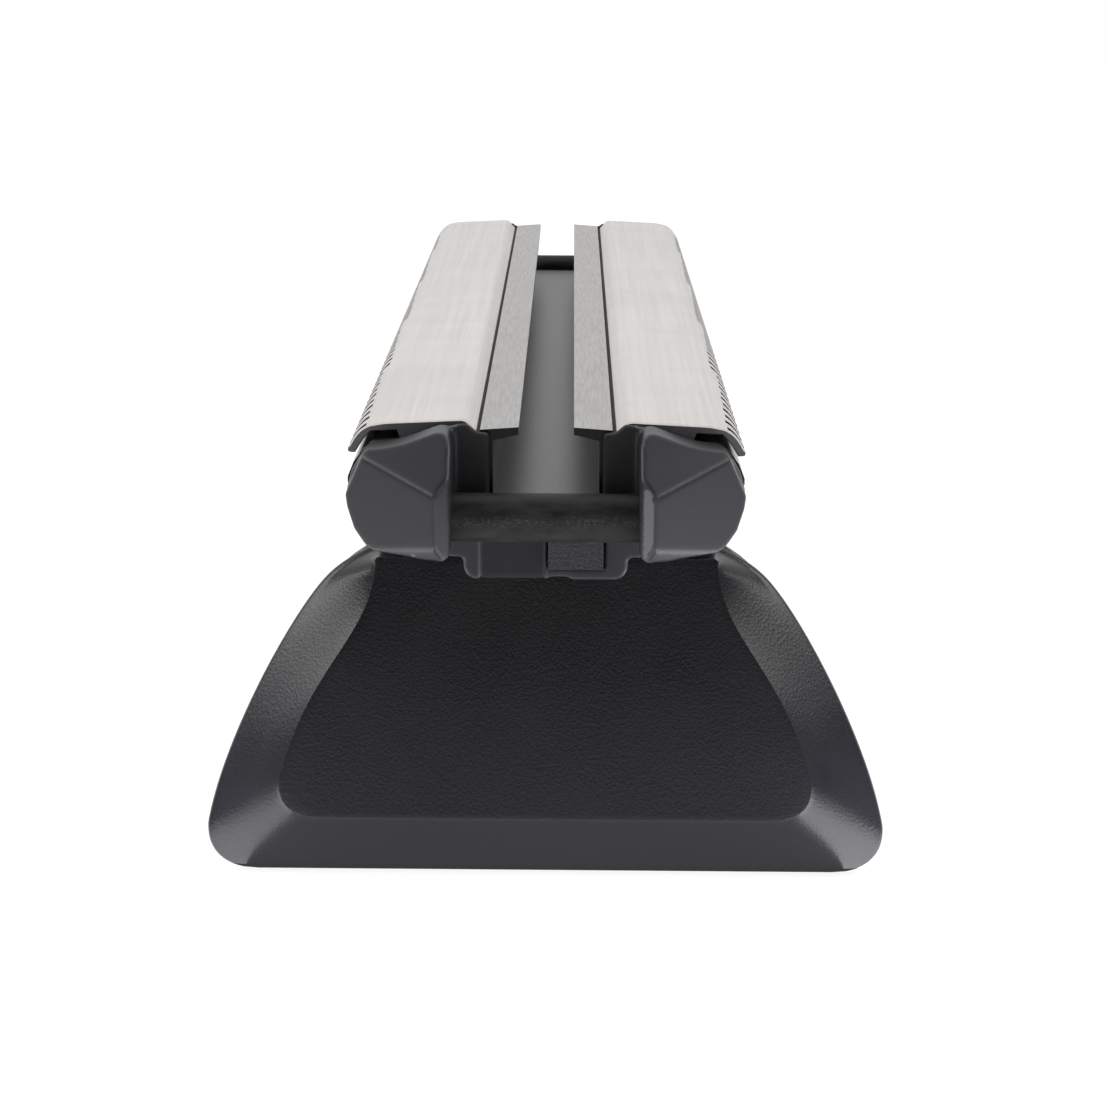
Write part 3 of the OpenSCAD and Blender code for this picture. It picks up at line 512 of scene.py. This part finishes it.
def make_strip(name, side, start, length):
    """A strip with slits across its outer shoulder, whose reach over it shrinks within each run."""
    base = strip_outline()
    rings, ys = [base, base], [start, start + 0.35]
    rings[0] = inset(base, 0.25)
    n, shaded = len(base), set()
    for i in range(int((length - 6) // SLIT_PITCH) + 1):
        reach = SLIT_REACH - REACH_LOSS * (i % SLIT_RUN) / SLIT_RUN
        reach *= 1 - REAR_LOSS * i * SLIT_PITCH / length
        y = start + SLIT_START + i * SLIT_PITCH
        # The slit follows the outer shoulder from its inner end down to the skirt
        inside = (np.arange(n) > SKIRT_POINT) & (base[:, 0] > BAR_HALF - reach)
        cut = np.where(inside[:, None], inset(base, SLIT_DEPTH), base)
        # Face numbers of the slit's two walls and floor, after the end's own face
        shaded |= {1 + (len(rings) + k) * n + j for k in range(3) for j in range(n) if inside[j]}
        rings += [base, cut, cut, base]
        ys += [y, y + SLIT_WALL, y + SLIT_WIDTH - SLIT_WALL, y + SLIT_WIDTH]
    rings += [base, inset(base, 0.25)]
    ys += [start + length - 0.35, start + length]
    # The underside, the skirt below its widest place and the seam by the lip are bare dark rubber
    shaded |= {1 + k * n + j for k in range(len(rings) - 1) for j in (*range(PALE_POINT), n - 2, n - 1)}
    verts = [[side * p[0], y, LIPS + p[1]] for r, y in zip(rings, ys) for p in r]
    faces = [list(range(n))] + rings_to_faces(len(rings), n)
    last = (len(rings) - 1) * n
    faces.append([last + i for i in reversed(range(n))])
    if side > 0:
        faces = [list(reversed(f)) for f in faces]
    mesh_piece(name + "_rubber", verts, faces, strip_rubber, "bar", name, 40,
               dark=(slit_dark, shaded))


make_strip("left_strip", -1, 2.0, REAR_FACE - 2.0)
make_strip("right_strip", 1, 0.4, REAR_FACE - 0.4)


# Caps: the CAD forms with moulded, softly rounded edges
def recess_of(at, normal):
    """1 in the front cap's recess between its lobes, 2 in the boss's pocket, and 0 elsewhere."""
    back = at.y > -WEB_FACE - MID - 0.4
    # The recess between the lobes takes the painted shade material.
    if back and abs(at.x) < RECESS_HALF and at.z > TUBE_LOW:
        return 1
    if at.y > -WEB_FACE - MID + 0.3 and -POCKET_HALF < at.x < 0 and at.y < -MID and normal.y < -0.7:
        return 2
    return 0


def softened(node, name):
    """A new cap from the node's form, remeshed and eased so that its edges are round."""
    me = nodes[node].data.copy()
    me.materials.clear()
    o = bpy.data.objects.new(name, me)
    bpy.context.scene.collection.objects.link(o)
    r = o.modifiers.new("remesh", "REMESH")
    r.mode = "VOXEL"
    r.voxel_size = CAP_VOXEL / 1000
    r.adaptivity = 0.0
    s = o.modifiers.new("ease", "SMOOTH")
    s.factor = 0.5
    s.iterations = CAP_PASSES
    bpy.context.view_layer.update()
    dg = bpy.context.evaluated_depsgraph_get()
    made = bpy.data.meshes.new_from_object(o.evaluated_get(dg))
    o.modifiers.clear()
    o.data = made
    # The rear cap's tips stay below the line of sight over the strips' far ends
    for v in made.vertices:
        beyond = v.co.y * 1000 + MID - REAR_FACE
        if beyond > TIP_START:
            v.co.z = min(v.co.z, (LIPS + TIP_OVER - TIP_FALL * max(beyond, 0)) / 1000)
    made.materials.clear()
    for m in (cap_black, recess_painted_shade, pocket_black):
        made.materials.append(m)
    for face in made.polygons:
        face.material_index = recess_of(face.center * 1000, face.normal)
    made.shade_smooth()
    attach(o, "bar")
    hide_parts(node)


softened("front_end_cap", "front_cap_moulding")
softened("rear_end_cap", "rear_cap_moulding")

# Carried-over CAD nodes
dress("bar_extrusion", bar_metal, 0.25)
for n in ("front_stop_tube", "rear_stop_tube"):
    dress(n, steel_painted_glints, 0.2)
for n in ("front_cap_screws", "rear_cap_screws", "frame_screws"):
    dress(n, black_steel, 0.12)
for n in ("front_slot_plate", "rear_slot_plate", "saddle", "cover_frame"):
    dress(n, grain_black, 0.2)
dress("tower_shell", shell_black)
dress("cover_grommets", pad_black, 0.15)
dress("base_pad", pad_black, 0.4)
for n in ("support_bracket", "bracket_screws", "base_plate", "clamp_bolts", "clamp_washers", "clamp_nuts"):
    dress(n, zinc, 0.15)


# Camera
def make_camera():
    """The photo's view: 460 mm in front of the bar's end, looking down at 15.2 degrees."""
    pitch = math.atan(HORIZON_OFF / FOCAL_LENGTH)
    yaw = math.atan(LINE_OFF * math.cos(pitch) / FOCAL_LENGTH)
    ahead = Vector((-math.sin(yaw) * math.cos(pitch), math.cos(yaw) * math.cos(pitch), -math.sin(pitch)))
    right = Vector((math.cos(yaw), math.sin(yaw), 0))
    up = right.cross(ahead)
    rx = right * math.cos(CAMERA_ROLL) + up * math.sin(CAMERA_ROLL)
    ry = -right * math.sin(CAMERA_ROLL) + up * math.cos(CAMERA_ROLL)
    cam = bpy.data.objects.new("camera", bpy.data.cameras.new("camera"))
    bpy.context.scene.collection.objects.link(cam)
    cam.data.sensor_width = SENSOR
    cam.data.lens = SENSOR * FOCAL_LENGTH / PHOTO_SIZE
    cam.data.clip_start = 0.01
    cam.data.clip_end = 60
    m = Matrix((rx, ry, -ahead)).transposed().to_4x4()
    m.translation = Vector((CAMERA_RIGHT, -CAMERA_AWAY - MID, LIPS + CAMERA_ABOVE)) / 1000
    cam.matrix_world = m
    bpy.context.scene.camera = cam


make_camera()


# Floor, world and lights
def seen_directly(nt, *kinds):
    """1 for rays of those kinds, which see the pale floor or background itself, and 0 for light."""
    path = nt.nodes.new("ShaderNodeLightPath")
    seen = path.outputs[kinds[0]]
    for kind in kinds[1:]:
        seen = math_node(nt, "MAXIMUM", seen, path.outputs[kind])
    return seen


def make_floor():
    """White where it is seen. As light it is a plain diffuse floor, and it keeps the part's shadow."""
    bpy.ops.mesh.primitive_plane_add(size=60, location=(0, 0, 0))
    floor = bpy.context.object
    floor.name = "floor"
    m = bpy.data.materials.new("floor")
    m.use_nodes = True
    nt = m.node_tree
    nt.nodes.clear()
    out = nt.nodes.new("ShaderNodeOutputMaterial")
    seen = seen_directly(nt, "Is Camera Ray", "Is Glossy Ray", "Is Transmission Ray")
    plain, lit = nt.nodes.new("ShaderNodeBsdfDiffuse"), nt.nodes.new("ShaderNodeBsdfDiffuse")
    plain.inputs["Color"].default_value = (0.7, 0.7, 0.7, 1)
    lit.inputs["Color"].default_value = (0.2, 0.2, 0.2, 1)
    white = nt.nodes.new("ShaderNodeEmission")
    white.inputs["Strength"].default_value = 0.92
    add, mix = nt.nodes.new("ShaderNodeAddShader"), nt.nodes.new("ShaderNodeMixShader")
    nt.links.new(white.outputs[0], add.inputs[0])
    nt.links.new(lit.outputs[0], add.inputs[1])
    nt.links.new(seen, mix.inputs[0])
    nt.links.new(plain.outputs[0], mix.inputs[1])
    nt.links.new(add.outputs[0], mix.inputs[2])
    nt.links.new(mix.outputs[0], out.inputs["Surface"])
    floor.data.materials.append(m)


def make_world():
    """White to the camera. As light it is dim in front of the bar, brighter behind it, and pale near the
    horizon, where a studio's sweep rises from the floor."""
    world = bpy.data.worlds.new("studio")
    bpy.context.scene.world = world
    world.use_nodes = True
    nt = world.node_tree
    bg = nt.nodes["Background"]
    bg.inputs["Color"].default_value = (1, 1, 1, 1)
    xyz = nt.nodes.new("ShaderNodeSeparateXYZ")
    nt.links.new(nt.nodes.new("ShaderNodeTexCoord").outputs["Generated"], xyz.inputs[0])
    behind = mapped(nt, xyz.outputs[1], -0.3, 0.8, 0.03, 0.95)
    height = mapped(nt, xyz.outputs[2], 0.13, 0.21, 1.0, 0.0)
    sweep = math_node(nt, "MULTIPLY", height, mapped(nt, xyz.outputs[1], -0.98, -0.5, 1.1, 0.2))
    seen = seen_directly(nt, "Is Camera Ray", "Is Transmission Ray")
    glow = math_node(nt, "MAXIMUM", behind, sweep)
    light = math_node(nt, "MULTIPLY", glow, math_node(nt, "SUBTRACT", 1.0, seen))
    nt.links.new(math_node(nt, "ADD", light, seen), bg.inputs["Strength"])


def softbox(name, place, size, radiance, aim=(0, 0, 0.07)):
    """A rectangular lamp whose face has that brightness, where 1 is white."""
    light = bpy.data.lights.new(name, "AREA")
    light.shape = "RECTANGLE"
    light.size, light.size_y = size
    light.energy = radiance * math.pi * size[0] * size[1]
    o = bpy.data.objects.new(name, light)
    bpy.context.scene.collection.objects.link(o)
    o.location = place
    o.rotation_mode = "QUATERNION"
    o.rotation_quaternion = (Vector(aim) - Vector(place)).to_track_quat("-Z", "Y")
    o.visible_camera = False


make_floor()
make_world()
softbox("left_box", (-1.16, -0.26, 0.98), (1.2, 0.74), 5.2)
softbox("right_box", (1.12, -0.28, 1.1), (1.2, 0.74), 5.0)
softbox("top_box", (0, 0.35, 1.4), (1.3, 1.0), 0.9)
# Pale cards on the floor, which the cover's lower corners mirror
softbox("left_card", (-0.127, -0.134, 0.002), (0.126, 0.132), 3.2, (-0.127, -0.134, 1))
softbox("right_card", (0.127, -0.134, 0.002), (0.126, 0.132), 5.0, (0.127, -0.134, 1))

bpy.context.scene.view_settings.view_transform = "Standard"
